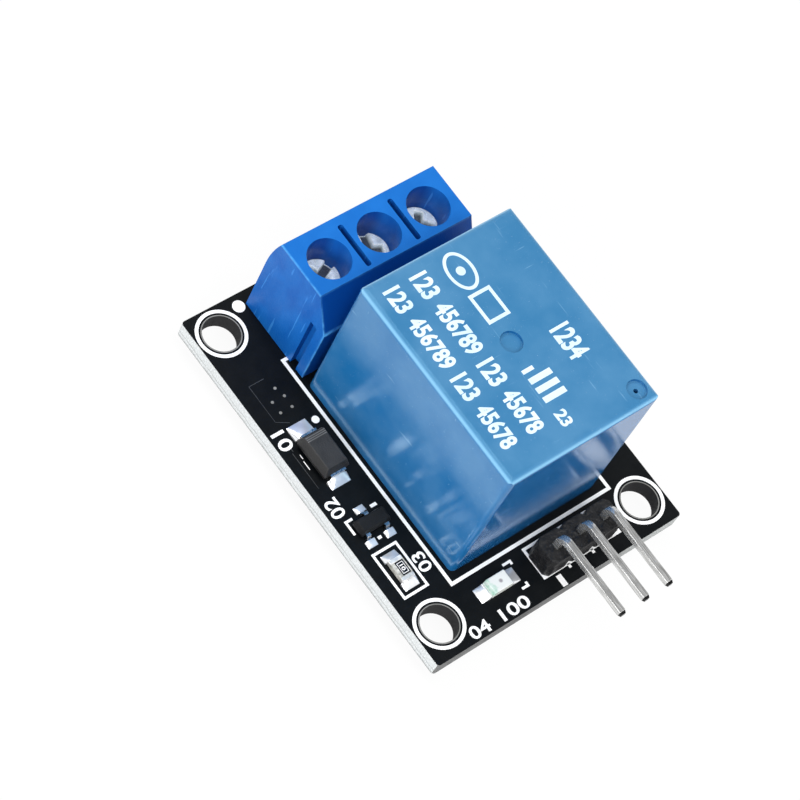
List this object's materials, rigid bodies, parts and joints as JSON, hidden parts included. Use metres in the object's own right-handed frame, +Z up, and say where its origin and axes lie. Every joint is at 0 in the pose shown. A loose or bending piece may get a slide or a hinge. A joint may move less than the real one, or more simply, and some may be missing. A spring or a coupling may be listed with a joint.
{
  "type": "relay module board",
  "caption": "Small relay board: sealed change-over relay with screw terminal block, bent-pin control header and drive parts on a drilled board.",
  "frame": {"origin": "centre of the four mounting holes, on the board's underside", "axes": "+Z up through the board towards the components, +Y towards the terminal block, +X to the right seen from the header edge"},
  "size_m": [0.026, 0.0394, 0.0185],
  "materials": {
    "board_mask": "satin black solder mask",
    "case_blue": "glossy translucent blue",
    "base_dark": "dark moulded",
    "copper_wire": "enamelled copper",
    "relay_iron": "plain nickel-plated iron",
    "contact_alloy": "copper alloy",
    "contact_silver": "silver",
    "terminal_blue": "semi-gloss blue",
    "clamp_tin": "tinned",
    "screw_zinc": "bright zinc",
    "header_black": "moulded black",
    "pin_tin": "bright tin",
    "chip_black": "moulded epoxy",
    "chip_leads": "tinned",
    "resistor_glaze": "dark glaze on white ceramic",
    "indicator_white": "white moulded",
    "indicator_clear": "milky clear",
    "solder": "bright solder"
  },
  "bodies": {
    "root": {"board": "board_mask", "relay_case": "case_blue", "relay_base": "base_dark", "relay_seal": "base_dark", "coil_bobbin": "base_dark", "coil_winding": "copper_wire", "coil_core": "relay_iron", "relay_yoke": "relay_iron", "common_strip": "contact_alloy", "closed_contact_blade": "contact_alloy", "open_contact_blade": "contact_alloy", "closed_contact_tip": "contact_silver", "open_contact_tip": "contact_silver", "terminal_housing": "terminal_blue", "clamp_frame_1": "clamp_tin", "clamp_frame_2": "clamp_tin", "clamp_frame_3": "clamp_tin", "header_body": "header_black", "header_pin_1": "pin_tin", "header_pin_2": "pin_tin", "header_pin_3": "pin_tin", "coil_pins": "pin_tin", "diode_body": "chip_black", "transistor_body": "chip_black", "diode_leads": "chip_leads", "transistor_leads": "chip_leads", "resistor_ends": "chip_leads", "indicator_ends": "chip_leads", "resistor_body": "resistor_glaze", "indicator_base": "indicator_white", "indicator_lens": "indicator_clear", "board_solder": "solder", "lead_solder": "solder"},
    "armature_arm": {"armature": "relay_iron", "contact_spring": "contact_alloy", "moving_contact": "contact_silver"},
    "guard_1": {"wire_guard_1": "clamp_tin"},
    "screw_1": {"clamp_screw_1": "screw_zinc"},
    "guard_2": {"wire_guard_2": "clamp_tin"},
    "screw_2": {"clamp_screw_2": "screw_zinc"},
    "guard_3": {"wire_guard_3": "clamp_tin"},
    "screw_3": {"clamp_screw_3": "screw_zinc"}
  },
  "joints": [
    {"name": "armature_swing", "type": "hinge", "parent": "root", "child": "armature_arm", "pos_m": [0.0005, -0.00905, 0.01219], "axis": [1, 0, 0], "range_deg": [-3, 0], "stiffness_Nm_per_rad": 0.01, "springref_deg": 5.73},
    {"name": "guard_1_travel", "type": "slide", "parent": "root", "child": "guard_1", "axis": [0, 0, 1], "range_m": [0, 0.002]},
    {"name": "screw_1_turn", "type": "hinge", "parent": "guard_1", "child": "screw_1", "pos_m": [-0.00458, 0.01245, 0.008], "axis": [0, 0, 1], "range_deg": [0, 1600]},
    {"name": "guard_2_travel", "type": "slide", "parent": "root", "child": "guard_2", "axis": [0, 0, 1], "range_m": [0, 0.002]},
    {"name": "screw_2_turn", "type": "hinge", "parent": "guard_2", "child": "screw_2", "pos_m": [0.0005, 0.01245, 0.008], "axis": [0, 0, 1], "range_deg": [0, 1600]},
    {"name": "guard_3_travel", "type": "slide", "parent": "root", "child": "guard_3", "axis": [0, 0, 1], "range_m": [0, 0.002]},
    {"name": "screw_3_turn", "type": "hinge", "parent": "guard_3", "child": "screw_3", "pos_m": [0.00558, 0.01245, 0.008], "axis": [0, 0, 1], "range_deg": [0, 1600]}
  ],
  "couplings": [
    {"joint": "screw_1_turn", "follows": "guard_1_travel", "rad_per_m": 13963},
    {"joint": "screw_2_turn", "follows": "guard_2_travel", "rad_per_m": 13963},
    {"joint": "screw_3_turn", "follows": "guard_3_travel", "rad_per_m": 13963}
  ]
}
